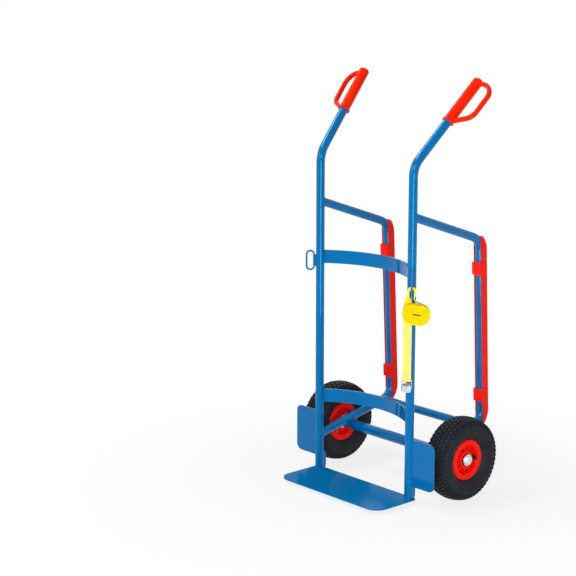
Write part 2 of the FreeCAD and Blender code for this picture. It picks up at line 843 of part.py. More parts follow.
def rim_nuts():
    body = hexagon(-rim_web - nut_height, nut_height, bolt_head_d)
    bore = cylinder(X_AXIS * -(rim_web + nut_height + cut_overrun), ORIGIN, bolt_d + 2 * bolt_clearance)
    nut = moved(body.cut(bore), Z_AXIS * bolt_circle)
    return Part.makeCompound([around_x(nut, angle) for angle in bolt_angles])


def bearing_rollers():
    half = roller_length / 2
    roller = cylinder(Vec(-half, 0, roller_circle), Vec(half, 0, roller_circle), roller_d)
    return Part.makeCompound([around_x(roller, full_turn * i / roller_count) for i in range(roller_count)])


def bearing_cage():
    half = roller_length / 2 + cage_end
    body = collar(-half, half, 2 * roller_circle - cage_wall, 2 * roller_circle + cage_wall)
    width = roller_d + 2 * cage_slot_clearance
    length = roller_length + 2 * cage_slot_clearance
    slot = Part.makeBox(length, width, roller_d)
    slot.translate(Vec(-length / 2, -width / 2, roller_circle - roller_d / 2))
    return body.cut([around_x(slot, full_turn * i / roller_count) for i in range(roller_count)])


# The valve stands level with the axle, on the rear side
valve_turn = -half_turn / 2
wheel_place = Vec(wheel_offset, axle_depth, wheel_r)


def on_wheel(shape):
    """Copy of a wheel piece moved to the right wheel's place."""
    return moved(around_x(shape, valve_turn), wheel_place)


# Strap: local axes are those of the right eye, with heights measured from the eye
saddle_height = -eye_length / 2 + eye_wire_d / 2
saddle_inner = eye_wire_d / 2 + web_saddle_lift + web_clearance
saddle_outer = saddle_inner + web_thickness
saddle_mid = (saddle_inner + saddle_outer) / 2
roll_top = saddle_height - roll_hang
roll_side = roll_side_shift
leg_side = -leg_side_shift
leg_top = saddle_height - leg_twist_length


def roll_arcs():
    """Half turns of the roll, from the core outwards: (side, centre height, radius)."""
    count = 2 * roll_turns
    outer_radius = roll_depth / 2 - web_thickness / 2
    arcs = []
    for k in range(count):
        side = 1 if (count - 1 - k) % 2 == 0 else -1
        centre = 0 if side == 1 else -roll_pitch / 2
        arcs.append((side, centre, outer_radius - (count - 1 - k) * roll_pitch / 2))
    return arcs


roll_half_straight = (roll_length - roll_depth) / 2
roll_middle = roll_top - roll_depth / 2


def roll_edge(shift):
    """Edges and end points of the roll's outline, moved outwards by a shift."""
    edges = []
    last = None
    first = None
    for side, centre, radius in roll_arcs():
        r = radius + shift
        height = roll_middle + centre
        x = roll_side + side * roll_half_straight
        low, high = Vec(x, height - r, 0), Vec(x, height + r, 0)
        start, end = (high, low) if side == -1 else (low, high)
        if last is not None:
            edges.append(Part.LineSegment(last, start).toShape())
        else:
            first = start
        edges.append(Part.Arc(start, Vec(x + side * r, height, 0), end).toShape())
        last = end
    return edges, first, last


def strap_roll():
    half = web_thickness / 2
    outer, outer_first, outer_last = roll_edge(half)
    inner, inner_first, inner_last = roll_edge(-half)
    caps = [Part.LineSegment(outer_first, inner_first).toShape(),
            Part.LineSegment(outer_last, inner_last).toShape()]
    wire = Part.Wire(Part.__sortEdges__(outer + inner + caps))
    return at_eye(moved(slab(wire, Z_AXIS * web_width), Z_AXIS * roll_back_shift))


def roll_gap():
    """Least gap between neighbouring turns of the roll, measured on points."""
    points = []
    steps = 24
    for turn, (side, centre, radius) in enumerate(roll_arcs()):
        for i in range(steps):
            angle = math.pi * i / steps
            points.append((turn, side * roll_half_straight + side * radius * math.sin(angle),
                           centre - side * radius * math.cos(angle)))
    least = roll_length
    for turn, x, y in points:
        for other, x2, y2 in points:
            if other > turn + 1:
                least = min(least, math.hypot(x - x2, y - y2))
    return least - web_thickness


def strap_saddle():
    """Gathered stretch of webbing over the eye's lower bend, and its way down to the roll."""
    half = web_thickness / 2
    run_in = roll_top - half
    corner = Vec(saddle_mid, run_in, 0)
    run_end = Vec(roll_side + roll_half_straight, run_in, 0)
    down = bent_path([Vec(saddle_mid, saddle_height, 0), corner, run_end], [roll_entry_radius])
    corners = [Vec(saddle_inner, saddle_height, 0), Vec(saddle_outer, saddle_height, 0),
               Vec(saddle_outer, saddle_height, web_width), Vec(saddle_inner, saddle_height, web_width)]
    section = outline(corners, [0] * len(corners))
    tail = moved(down.makePipeShell([section], True, False), Z_AXIS * roll_back_shift)
    arch = Part.makeCylinder(saddle_outer, web_gathered_width)
    arch = arch.cut(Part.makeCylinder(saddle_inner, web_gathered_width))
    upper = Part.makeBox(2 * saddle_outer, saddle_outer, web_gathered_width)
    upper.translate(Vec(-saddle_outer, 0, 0))
    arch = moved(arch.common(upper), Vec(0, saddle_height, eye_middle - web_gathered_width / 2))
    far = eye_middle + web_gathered_width / 2
    near = eye_middle - web_gathered_width / 2
    back = roll_back_shift
    front = roll_back_shift + web_width
    taper_end = roll_top + roll_entry_radius / 2
    taper = [Vec(0, saddle_height, near), Vec(0, saddle_height, far), Vec(0, taper_end, front),
             Vec(0, roll_top - roll_depth, front), Vec(0, roll_top - roll_depth, back),
             Vec(0, taper_end, back)]
    wedge = slab(outline(taper, [0] * len(taper)), X_AXIS * roll_length)
    return arch.fuse(tail.common(wedge)).removeSplitter()


def leg_section(share):
    """Section of the hanging leg, from the gathered saddle (0) to the flat leg (1)."""
    angle = share * math.pi / 2
    width = web_gathered_width + (web_width - web_gathered_width) * share
    top = saddle_height
    height = top + (leg_top - top) * share
    x = -saddle_mid + (leg_side + saddle_mid) * share
    z = eye_middle + (leg_forward_shift - eye_middle) * share
    along = Vec(-math.sin(angle), 0, math.cos(angle)) * (width / 2)
    through = Vec(math.cos(angle), 0, math.sin(angle)) * (web_thickness / 2)
    centre = Vec(x, height, z)
    corners = [centre - along - through, centre + along - through,
               centre + along + through, centre - along + through]
    return Part.makePolygon(corners + corners[:1])


def strap_leg():
    """Hanging leg of the strap, with the sewn loop that holds the buckle."""
    last = twist_sections - 1
    twist = Part.makeLoft([leg_section(i / last) for i in range(twist_sections)], True, True)
    length = leg_length - bar_loop_outer + web_thickness / 2
    flat = Part.makeBox(web_width, length, web_thickness)
    flat.translate(Vec(leg_side - web_width / 2, leg_top - length, leg_forward_shift - web_thickness / 2))
    start = Vec(leg_side - web_width / 2, bar_height_at_eye, leg_forward_shift)
    end = start + X_AXIS * web_width
    sleeve = cylinder(start, end, 2 * bar_loop_outer)
    overrun = X_AXIS * cut_overrun
    bore = cylinder(start - overrun, end + overrun, 2 * bar_loop_inner)
    return twist.fuse([flat, sleeve]).cut(bore).removeSplitter()


def strap_band():
    return at_eye(strap_saddle().fuse(strap_leg()).removeSplitter())


# Buckle: local axes are those of the eye, with the loop bar as the buckle's reference
bar_height_at_eye = leg_top - leg_length
bar_loop_inner = buckle_bar_d / 2 + buckle_bar_clearance
bar_loop_outer = bar_loop_inner + web_thickness
buckle_place = Vec(leg_side, bar_height_at_eye, leg_forward_shift)
half_buckle = buckle_width / 2
pin_place = Vec(0, -pin_drop, pin_forward)


def at_buckle(shape):
    return at_eye(moved(shape, buckle_place))


def buckle_frame():
    front = buckle_depth - buckle_back
    back = -buckle_back
    body = cylinder(X_AXIS * -half_buckle, X_AXIS * half_buckle, buckle_bar_d)
    for side in (-half_buckle, half_buckle - buckle_wall):
        corners = [Vec(side, buckle_head, back), Vec(side, -buckle_length, back),
                   Vec(side, -buckle_length, 0), Vec(side, -pin_drop - buckle_corner, front),
                   Vec(side, -pin_drop + buckle_corner, front), Vec(side, buckle_head, buckle_head)]
        cheek = slab(outline(corners, [0, 0, 0, buckle_corner, buckle_corner, 0]), X_AXIS * buckle_wall)
        body = body.fuse(cheek)
    base = Part.makeBox(buckle_width, buckle_length - base_start, buckle_wall)
    base.translate(Vec(-half_buckle, -buckle_length, back))
    body = body.fuse(base).removeSplitter()
    reach = X_AXIS * buckle_width
    hole = cylinder(pin_place - reach, pin_place + reach, pin_d + 2 * pin_clearance)
    return at_buckle(body.cut(hole))


def buckle_pin():
    reach = half_buckle + pin_clearance
    body = cylinder(X_AXIS * -reach, X_AXIS * reach, pin_d)
    for side in (-1, 1):
        body = body.fuse(cylinder(X_AXIS * (side * reach), X_AXIS * (side * (reach + pin_head)), pin_head_d))
    return at_buckle(moved(body, pin_place))


def buckle_lever():
    """Cam with teeth towards the base, and a thumb plate that points down."""
    half = half_buckle - buckle_wall - lever_side_gap
    radius = cam_d / 2
    cam = cylinder(X_AXIS * -half, X_AXIS * half, cam_d)
    teeth = []
    for i in range(cam_tooth_count):
        share = i / (cam_tooth_count - 1) - 1 / 2
        angle = math.radians(half_turn + cam_tooth_span_angle * share)
        out = Vec(0, math.sin(angle), math.cos(angle))
        across = Vec(0, out.z, -out.y)
        root = out * (radius - cam_tooth / 2)
        corners = [root - across * cam_tooth, root + out * (cam_tooth * 3 / 2), root + across * cam_tooth]
        wire = Part.makePolygon([corner - X_AXIS * half for corner in corners + corners[:1]])
        teeth.append(slab(wire, X_AXIS * (2 * half)))
    lean = math.radians(lever_lean_angle)
    down = Vec(0, -math.cos(lean), math.sin(lean))
    face = Vec(0, math.sin(lean), math.cos(lean))
    near = face * (radius - lever_thickness)
    tip = near + down * lever_length
    corners = [near - X_AXIS * half, near + X_AXIS * half, tip + X_AXIS * half, tip - X_AXIS * half]
    thumb = slab(outline(corners, [0, 0, lever_corner, lever_corner]), face * lever_thickness)
    body = cam.fuse(teeth + [thumb]).removeSplitter()
    body = body.cut(cylinder(X_AXIS * -buckle_width, X_AXIS * buckle_width, pin_d + 2 * pin_clearance))
    room = spring_length / 2 + spring_clearance
    body = body.cut(cylinder(X_AXIS * -room, X_AXIS * room, spring_d + 2 * spring_clearance))
    return at_buckle(moved(body, pin_place))


def buckle_spring():
    half = spring_length / 2
    ring = collar(-half, half, pin_d + 2 * spring_clearance, spring_d)
    return at_buckle(moved(ring, pin_place))


# All pieces, by node name
pieces = {}


def single(name, shape):
    pieces[name] = shape


def pair(name, right_shape):
    pieces["right_" + name] = right_shape
    pieces["left_" + name] = mirrored(right_shape)


pair("upright", upright())
pair("skid_tube", skid_tube())
single("rear_cross_tube", rear_cross_tube())
single("upper_crossbar", crossbar(upper_bar_height))
single("lower_crossbar", crossbar(lower_bar_height))
single("toe_plate", toe_plate())
single("plate_runner", plate_runner())
pair("foot_rib", foot_rib())
pair("wheel_guard", wheel_guard())
single("axle_tube", axle_tube())
single("axle", axle())
single("axle_lock_pin", axle_lock_pin())
pair("inner_washer", washer(inner_washer_start))
pair("outer_washer", washer(outer_washer_start))
pair("hub_cap", hub_cap())
pair("grip", grip())
pair("skid_strip", skid_strip())
skid_run = (skid_points[2] - skid_points[1]).Length
pair("upper_strip_clip", strip_clip(upper_clip_drop))
pair("lower_strip_clip", strip_clip(skid_run - lower_clip_rise))
pair("strap_eye", strap_eye())
pair("eye_tab", eye_tab())
pair("tyre", on_wheel(tyre()))
pair("inner_tube", on_wheel(inner_tube()))
pair("rim_outer", on_wheel(rim_outer()))
pair("rim_inner", on_wheel(rim_inner()))
pair("rim_bolts", on_wheel(rim_bolts()))
pair("rim_nuts", on_wheel(rim_nuts()))
pair("valve", on_wheel(valve()))
pair("valve_cap", on_wheel(valve_cap()))
pair("bearing_cage", on_wheel(bearing_cage()))
pair("bearing_rollers", on_wheel(bearing_rollers()))
single("strap_band", strap_band())
single("strap_roll", strap_roll())
single("buckle_frame", buckle_frame())
single("buckle_pin", buckle_pin())
single("buckle_lever", buckle_lever())
single("buckle_spring", buckle_spring())

# The origin is the middle of the footprint, on the floor
footprint = Part.makeCompound(list(pieces.values())).optimalBoundingBox(False, False)
to_origin = Vec(0, -(footprint.YMin + footprint.YMax) / 2, 0)

os.makedirs("parts", exist_ok=True)
for name, shape in pieces.items():
    moved(shape, to_origin).exportStep(os.path.join("parts", name + ".step"))
print("pieces", len(pieces), "moved by", round(to_origin.y, 3))
print("size", round(footprint.XLength, 2), round(footprint.YLength, 2), round(footprint.ZLength, 2))
print("least gap in the strap roll", round(roll_gap(), 3))
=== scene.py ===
import json
import math

import bmesh
import bpy
from mathutils import Matrix, Vector


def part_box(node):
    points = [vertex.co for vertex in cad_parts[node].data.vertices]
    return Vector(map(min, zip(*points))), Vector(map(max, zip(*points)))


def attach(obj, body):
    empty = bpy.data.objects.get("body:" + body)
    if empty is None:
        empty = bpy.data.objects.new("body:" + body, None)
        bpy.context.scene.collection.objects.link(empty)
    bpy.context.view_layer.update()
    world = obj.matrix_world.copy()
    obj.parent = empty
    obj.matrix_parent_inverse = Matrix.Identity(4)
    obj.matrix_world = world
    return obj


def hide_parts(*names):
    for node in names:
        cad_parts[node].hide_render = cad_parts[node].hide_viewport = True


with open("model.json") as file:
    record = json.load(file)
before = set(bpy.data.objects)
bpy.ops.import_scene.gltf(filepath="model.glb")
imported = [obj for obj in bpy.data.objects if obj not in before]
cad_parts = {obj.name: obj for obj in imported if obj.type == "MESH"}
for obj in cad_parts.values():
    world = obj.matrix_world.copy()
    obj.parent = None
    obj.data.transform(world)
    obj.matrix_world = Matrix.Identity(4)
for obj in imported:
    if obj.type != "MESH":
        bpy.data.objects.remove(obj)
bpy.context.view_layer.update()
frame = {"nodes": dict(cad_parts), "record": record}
nodes = frame["nodes"]

# Sizes repeated from the part's source, in metres
TUBE_R = 0.01345
HALF_SPACING = 0.2
PLATE_TOP = 0.0165
WHEEL_R = 0.13
WHEEL_X = 0.274
AXLE_DEPTH = 0.15
AXLE_TUBE_R = 0.01685
TYRE_HALF = 0.0425
RIM_FLANGE_R = 0.0635
BEAD_HALF = 0.0247
BEAD_FOOT_R = 0.0503
EYE_Z = 0.697
EYE_MIDDLE = 0.03125
SADDLE_Z = 0.667
WEB_WIDTH = 0.025
WEB_THICK = 0.0016
LEG_SIDE = -0.011
LEG_OUT = 0.019
LEG_TOP_Z = 0.620
LEG_BOTTOM_Z = 0.392
ROLL_SIDE = 0.0135
ROLL_Z = 0.601
ROLL_LENGTH = 0.084
ROLL_DEPTH = 0.062
ROLL_TURNS = 12
ROLL_PITCH = 0.0024
ROLL_BACK = 0.024
BAR_R = 0.002
SKID_TOP_Z = 0.886
SKID_SHOULDER = (0.295, 0.783)
SKID_FOOT_Z = 0.1285
LEG_ANGLE = math.radians(12.2563)
CROSS_DEPTH = 0.284
BAR_BOW = 0.08
BAR_HEIGHT = 0.042
BAR_THICK = 0.006
UPPER_BAR_Z = 0.7095
LOWER_BAR_Z = 0.2585
GUARD_THICK = 0.004
GUARD_Z = (0.057, 0.206)
RIB_THICK = 0.006
RIB_TOP = 0.074
EYE_TAB_HALF = 0.0185
EYE_TAB_THICK = 0.005
HALF_ROOT = math.sqrt(0.5)

# Depth of the uprights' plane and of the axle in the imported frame
plane_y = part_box("right_upright")[0].y + TUBE_R
axle_y = plane_y + AXLE_DEPTH


# Material helpers
def new_material(name):
    mat = bpy.data.materials.new(name)
    mat.use_nodes = True
    return mat, mat.node_tree, mat.node_tree.nodes["Principled BSDF"]


def noise(tree, vector, scale, detail=2.0, rough=0.5):
    node = tree.nodes.new("ShaderNodeTexNoise")
    node.inputs["Scale"].default_value = scale
    node.inputs["Detail"].default_value = detail
    node.inputs["Roughness"].default_value = rough
    tree.links.new(vector, node.inputs["Vector"])
    return node.outputs["Fac"]


def ramp(tree, fac, low, high, start=0.3, end=0.7):
    node = tree.nodes.new("ShaderNodeValToRGB")
    node.color_ramp.elements[0].position = start
    node.color_ramp.elements[0].color = (*low, 1)
    node.color_ramp.elements[1].position = end
    node.color_ramp.elements[1].color = (*high, 1)
    tree.links.new(fac, node.inputs["Fac"])
    return node.outputs["Color"]


def span(tree, fac, low, high):
    node = tree.nodes.new("ShaderNodeMapRange")
    node.inputs["To Min"].default_value = low
    node.inputs["To Max"].default_value = high
    tree.links.new(fac, node.inputs["Value"])
    return node.outputs["Result"]


def bump(tree, bsdf, height, strength, distance, edge=0.0):
    node = tree.nodes.new("ShaderNodeBump")
    node.inputs["Strength"].default_value = strength
    node.inputs["Distance"].default_value = distance
    tree.links.new(height, node.inputs["Height"])
    if edge > 0:
        bevel = tree.nodes.new("ShaderNodeBevel")
        bevel.samples = 4
        bevel.inputs["Radius"].default_value = edge
        tree.links.new(bevel.outputs["Normal"], node.inputs["Normal"])
    tree.links.new(node.outputs["Normal"], bsdf.inputs["Normal"])


def object_coords(tree):
    return tree.nodes.new("ShaderNodeTexCoord").outputs["Object"]


GRAIN_DEPTH = 0.0006
SMEAR_RATIO = 3


def surface(name, dark, light, rough, tone_scale, grain_scale, grain, edge=0.0, metallic=0.0, shine=0.5,
            tint=(1.0, 1.0, 1.0)):
    """Material with mottled colour, uneven gloss and a fine grain."""
    mat, tree, bsdf = new_material(name)
    coords = object_coords(tree)
    tone = noise(tree, coords, tone_scale, 4.0)
    tree.links.new(ramp(tree, tone, dark, light), bsdf.inputs["Base Color"])
    smear = noise(tree, coords, tone_scale * SMEAR_RATIO, 5.0, 0.6)
    tree.links.new(span(tree, smear, rough[0], rough[1]), bsdf.inputs["Roughness"])
    bump(tree, bsdf, noise(tree, coords, grain_scale, 3.0), grain, GRAIN_DEPTH, edge)
    bsdf.inputs["Metallic"].default_value = metallic
    bsdf.inputs["Specular IOR Level"].default_value = shine
    bsdf.inputs["Specular Tint"].default_value = (*tint, 1)
    return mat


WEAVE_FOLD = 0.25
WEAVE_SCALE = 170.0
WEAVE_TONE = 0.35
WEAVE_RELIEF = 0.45
WEAVE_DEPTH = 0.0004
WEAVE_ROUGH = 0.72
WEAVE_SHINE = 0.05
SOIL_SCALE = 45.0
SOIL_RANGE = (0.35, 0.85)


def webbing(name, dark, light):
    """Woven strap: fine diagonal ribs, folded about the middle, along the strap's own UV."""
    mat, tree, bsdf = new_material(name)
    uv = tree.nodes.new("ShaderNodeTexCoord").outputs["UV"]
    split = tree.nodes.new("ShaderNodeSeparateXYZ")
    tree.links.new(uv, split.inputs["Vector"])
    fold = tree.nodes.new("ShaderNodeMath")
    fold.operation = "PINGPONG"
    fold.inputs[1].default_value = WEAVE_FOLD
    tree.links.new(split.outputs["X"], fold.inputs[0])
    join = tree.nodes.new("ShaderNodeCombineXYZ")
    stretch = tree.nodes.new("ShaderNodeMath")
    stretch.operation = "MULTIPLY"
    stretch.inputs[1].default_value = WEB_WIDTH
    tree.links.new(fold.outputs["Value"], stretch.inputs[0])
    tree.links.new(stretch.outputs["Value"], join.inputs["X"])
    tree.links.new(split.outputs["Y"], join.inputs["Y"])
    ribs = tree.nodes.new("ShaderNodeTexWave")
    ribs.wave_type = "BANDS"
    ribs.bands_direction = "DIAGONAL"
    ribs.inputs["Scale"].default_value = WEAVE_SCALE
    ribs.inputs["Distortion"].default_value = 0.6
    ribs.inputs["Detail"].default_value = 1.0
    tree.links.new(join.outputs["Vector"], ribs.inputs["Vector"])
    coords = object_coords(tree)
    soil = noise(tree, coords, SOIL_SCALE, 4.0)
    blend = tree.nodes.new("ShaderNodeMath")
    blend.operation = "MULTIPLY_ADD"
    blend.inputs[1].default_value = WEAVE_TONE
    tree.links.new(ribs.outputs["Fac"], blend.inputs[0])
    tree.links.new(soil, blend.inputs[2])
    tree.links.new(ramp(tree, blend.outputs["Value"], dark, light, *SOIL_RANGE), bsdf.inputs["Base Color"])
    bsdf.inputs["Roughness"].default_value = WEAVE_ROUGH
    bsdf.inputs["Specular IOR Level"].default_value = WEAVE_SHINE
    bump(tree, bsdf, ribs.outputs["Fac"], WEAVE_RELIEF, WEAVE_DEPTH)
    return mat


paint = surface("blue_powder_coat", (0.0, 0.112, 0.335), (0.0, 0.135, 0.385), (0.06, 0.11), 9.0, 420.0,
                0.0008, 0.0007, shine=0.60, tint=(0.10, 0.70, 1.0))
# Painted reflection: the toe plate's blue is lighter than the frame's coat and stands for the reflections
# that its weak specular no longer shows
plate_paint_painted_sheen = surface("blue_plate_coat_painted_sheen", (0.0, 0.155, 0.395), (0.0, 0.182, 0.450), (0.10, 0.18), 9.0, 420.0,
                      0.02, 0.0, shine=0.02, tint=(0.15, 0.65, 1.0))
red_plastic = surface("red_moulded_plastic", (0.88, 0.008, 0.001), (0.96, 0.013, 0.002), (0.16, 0.28), 14.0,
                      500.0, 0.002, shine=0.20, tint=(1.0, 0.35, 0.22))
red_grip = surface("red_grip_plastic", (0.92, 0.016, 0.001), (0.99, 0.024, 0.003), (0.16, 0.28), 14.0, 500.0,
                   0.0015, shine=0.07, tint=(1.0, 0.42, 0.24))
red_rim = surface("red_rim_plastic", (0.88, 0.006, 0.001), (0.96, 0.010, 0.002), (0.20, 0.32), 20.0, 500.0,
                  0.010, 0.0010, shine=0.16, tint=(1.0, 0.35, 0.25))
rubber = surface("tyre_rubber", (0.007, 0.009, 0.012), (0.013, 0.0155, 0.0195), (0.5, 0.7), 30.0, 600.0,
                 0.22, shine=0.16)
soft_rubber = surface("valve_rubber", (0.006, 0.006, 0.007), (0.012, 0.012, 0.013), (0.5, 0.65), 60.0, 900.0,
                      0.1, shine=0.2)
# Painted shade: the outer hub washers in this slot are real parts, but they are black so that they stand for
# the dark shadow ring in the gap round the silver cap
black_plastic = surface("black_plastic", (0.006, 0.006, 0.007), (0.012, 0.012, 0.013), (0.35, 0.5), 60.0,
                        900.0, 0.1, 0.0004, shine=0.2)
plated = surface("zinc_plated_steel", (0.50, 0.50, 0.51), (0.66, 0.66, 0.67), (0.28, 0.42), 80.0, 1500.0,
                 0.08, 0.0003, 1.0)
bright = surface("bright_cap_steel", (0.70, 0.70, 0.71), (0.80, 0.80, 0.81), (0.30, 0.40), 70.0, 900.0,
                 0.06, 0.0008, 1.0)
zinc = surface("buckle_zinc", (0.20, 0.24, 0.26), (0.34, 0.39, 0.41), (0.50, 0.62), 120.0, 1400.0,
               0.12, 0.0005, 1.0)
steel = surface("ground_steel", (0.55, 0.55, 0.56), (0.62, 0.62, 0.63), (0.2, 0.3), 90.0, 1500.0,
                0.05, 0.0, 1.0)
dark_steel = surface("blackened_steel", (0.05, 0.05, 0.055), (0.09, 0.09, 0.095), (0.3, 0.45), 90.0, 1500.0,
                     0.06, 0.0, 1.0)
cage_plastic = surface("cage_plastic", (0.55, 0.55, 0.5), (0.62, 0.62, 0.57), (0.4, 0.5), 90.0, 900.0, 0.05)
web_deep = webbing("yellow_webbing_roll", (0.95, 0.56, 0.0), (0.99, 0.66, 0.001))
web_pale = webbing("yellow_webbing_leg", (0.96, 0.63, 0.10), (0.99, 0.72, 0.18))
# Painted light: the strap above the leg gets a lighter, greener copy of the same webbing, so that its shaded
# run does not turn orange
web_top_painted_light = webbing("yellow_webbing_top_painted_light", (0.97, 0.74, 0.03), (0.99, 0.84, 0.07))
thread = surface("stitch_thread", (0.85, 0.62, 0.10), (0.95, 0.75, 0.2), (0.6, 0.7), 200.0, 2000.0, 0.1)

slot_material = {
    "blue_paint": paint, "plated_steel": plated, "bright_cap": bright, "red_plastic": red_plastic,
    "red_rim": red_rim, "tyre_rubber": rubber, "tube_rubber": soft_rubber, "black_plastic": black_plastic,
    "bearing_steel": steel, "cage_plastic": cage_plastic, "yellow_webbing": web_pale, "buckle_zinc": zinc}
for part in frame["record"]["subparts"]:
    mesh = nodes[part["node"]].data
    mesh.materials.clear()
    mesh.materials.append(slot_material[part["material_slot"]])
# The toe plate takes the lightened coat, whose extra lightness is a painted reflection
nodes["toe_plate"].data.materials[0] = plate_paint_painted_sheen
for side in ("left", "right"):
    nodes[side + "_grip"].data.materials[0] = red_grip
    nodes[side + "_rim_bolts"].data.materials[0] = dark_steel


# Mesh helpers
def mesh_object(name, verts, faces, mat, body, smooth_angle=40.0, uvs=None):
    """New piece from points and faces, riding on a body."""
    mesh = bpy.data.meshes.new(name)
    mesh.from_pydata([tuple(v) for v in verts], [], faces)
    mesh.validate()
    if uvs is not None:
        layer = mesh.uv_layers.new(name="UVMap")
        for loop in mesh.loops:
            layer.data[loop.index].uv = uvs[loop.vertex_index]
    bm = bmesh.new()
    bm.from_mesh(mesh)
    bmesh.ops.recalc_face_normals(bm, faces=bm.faces)
    bm.to_mesh(mesh)
    bm.free()
    mesh.materials.append(mat)
    obj = bpy.data.objects.new(name, mesh)
    bpy.context.scene.collection.objects.link(obj)
    mesh.shade_smooth()
    mesh.set_sharp_from_angle(angle=math.radians(smooth_angle))
    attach(obj, body)
    return obj


def ring_faces(first, rings, count, closed_rings=False, caps=False):
    """Faces between rings of points; each ring is a closed loop."""
    faces = []
    last = rings if closed_rings else rings - 1
    for i in range(last):
        a = first + i * count
        b = first + ((i + 1) % rings) * count
        for j in range(count):
            k = (j + 1) % count
            faces.append((a + j, a + k, b + k, b + j))
    if caps:
        faces.append(tuple(first + j for j in reversed(range(count))))
        faces.append(tuple(first + (rings - 1) * count + j for j in range(count)))
    return faces


def arc_points(a, b, c, count):
    """Points along the circle through three plane points, from a to c."""
    (ax, ay), (bx, by), (cx, cy) = a, b, c
    d = 2 * (ax * (by - cy) + bx * (cy - ay) + cx * (ay - by))
    a2, b2, c2 = ax * ax + ay * ay, bx * bx + by * by, cx * cx + cy * cy
    ux = (a2 * (by - cy) + b2 * (cy - ay) + c2 * (ay - by)) / d
    uy = (a2 * (cx - bx) + b2 * (ax - cx) + c2 * (bx - ax)) / d
    start = math.atan2(ay - uy, ax - ux)
    sweep = math.atan2(cy - uy, cx - ux) - start
    middle = math.atan2(by - uy, bx - ux) - start
    sweep %= 2 * math.pi
    if middle % (2 * math.pi) > sweep:
        sweep -= 2 * math.pi
    radius = math.hypot(ax - ux, ay - uy)
    turns = [start + sweep * i / (count - 1) for i in range(count)]
    return [(ux + radius * math.cos(t), uy + radius * math.sin(t)) for t in turns]


# Tyres with block tread
TREAD_DEPTH = 0.0045
BLOCKS_ROUND = 54
TREAD_ROWS = (0.0, 0.0142, 0.0284)
BLOCK_WIDTH = 0.0110
BLOCK_SHARE = 0.72
BLOCK_CLIP = 0.22
BLOCK_LEVELS = ((-0.0050, 1.05), (-0.0009, 1.0), (-0.0002, 0.93), (0.0, 0.84))
OUTER_ROW = 0.0430
OUTER_WIDTH = 0.0135
OUTER_SHARE = 0.60
SHOULDER_X = 0.0355
SHOULDER_R = 0.123
SIDE_R = 0.09675
LOW_SIDE = (0.0386, 0.0781)
HIGH_SIDE = (0.0398, 0.113)
CROWN_MIDDLE_R = 0.12825
GROOVE_START_R = 0.104
GROOVE_FADE = 0.012
GROOVE_CENTRE_R = 0.095
RIDGES = ((0.0735, 0.0012), (0.1005, 0.0010))
RIDGE_HEIGHT = 0.0007
BEAD_INNER = 0.0147
CAVITY = ((0.0147, 0.063), (0.031, 0.074), (0.0365, 0.092), (0.0295, 0.112))
CAVITY_TOP_R = 0.119
TYRE_STEPS = 144


def tyre_side(lowered):
    """Right half of the tyre's outline, from bead to crown; the crown is lowered for the grooves."""
    low = arc_points((BEAD_HALF, RIM_FLANGE_R), LOW_SIDE, (TYRE_HALF, SIDE_R), 14)
    high = arc_points((TYRE_HALF, SIDE_R), HIGH_SIDE, (SHOULDER_X, SHOULDER_R), 12)
    crown = arc_points((SHOULDER_X, SHOULDER_R), (SHOULDER_X / 2, CROWN_MIDDLE_R), (0.0, WHEEL_R), 12)
    side = low + high[1:] + crown[1:]
    if not lowered:
        return side
    points = []
    for x, r in side:
        share = min(1.0, max(0.0, (r - GROOVE_START_R) / GROOVE_FADE))
        ease = share * share * (3 - 2 * share)
        inward = Vector((x, r - GROOVE_CENTRE_R)).normalized() * (TREAD_DEPTH * ease)
        ridge = sum(RIDGE_HEIGHT * math.exp(-((r - place) / width) ** 2) for place, width in RIDGES)
        points.append((x - inward.x + ridge, r - inward.y))
    return points


def tyre_section():
    """Closed outline of the tyre: outside, beads and the cavity within."""
    right = tyre_side(True)
    left = [(-x, r) for x, r in reversed(right[:-1])]
    foot = [(BEAD_INNER, BEAD_FOOT_R), (BEAD_HALF, BEAD_FOOT_R)]
    wall = list(reversed(CAVITY)) + foot
    inside = [(-x, r) for x, r in reversed(wall)] + [(0.0, CAVITY_TOP_R)] + wall
    return right + left + inside


def on_tread(along, profile, lengths):
    """Place and outward direction on the tyre's outline, at a signed length from the crown."""
    sign = 1 if along >= 0 else -1
    rest = abs(along)
    for i in range(len(profile) - 1):
        if rest <= lengths[i + 1] or i == len(profile) - 2:
            share = (rest - lengths[i]) / (lengths[i + 1] - lengths[i])
            a, b = Vector(profile[i]), Vector(profile[i + 1])
            point = a.lerp(b, share)
            run = (b - a).normalized()
            out = Vector((-run.y, run.x))
            if out.y < 0:
                out = -out
            return Vector((sign * point.x, point.y)), Vector((sign * out.x, out.y))


def tread_block(verts, faces, centre, angle, width, turn, profile, lengths):
    """Block with clipped corners and rounded shoulders, standing on the lowered crown."""
    inset = 1 - BLOCK_CLIP
    shape = [(-1, -inset), (-1, inset), (-inset, 1), (inset, 1), (1, inset), (1, -inset), (inset, -1),
             (-inset, -1)]
    first = len(verts)
    for lift, size in BLOCK_LEVELS:
        for a, b in shape:
            point, out = on_tread(centre + a * size * width / 2, profile, lengths)
            spot = point + out * lift
            theta = angle + b * size * turn / 2
            verts.append(Vector((spot.x, spot.y * math.cos(theta), spot.y * math.sin(theta))))
    faces.extend(ring_faces(first, len(BLOCK_LEVELS), len(shape), caps=True))


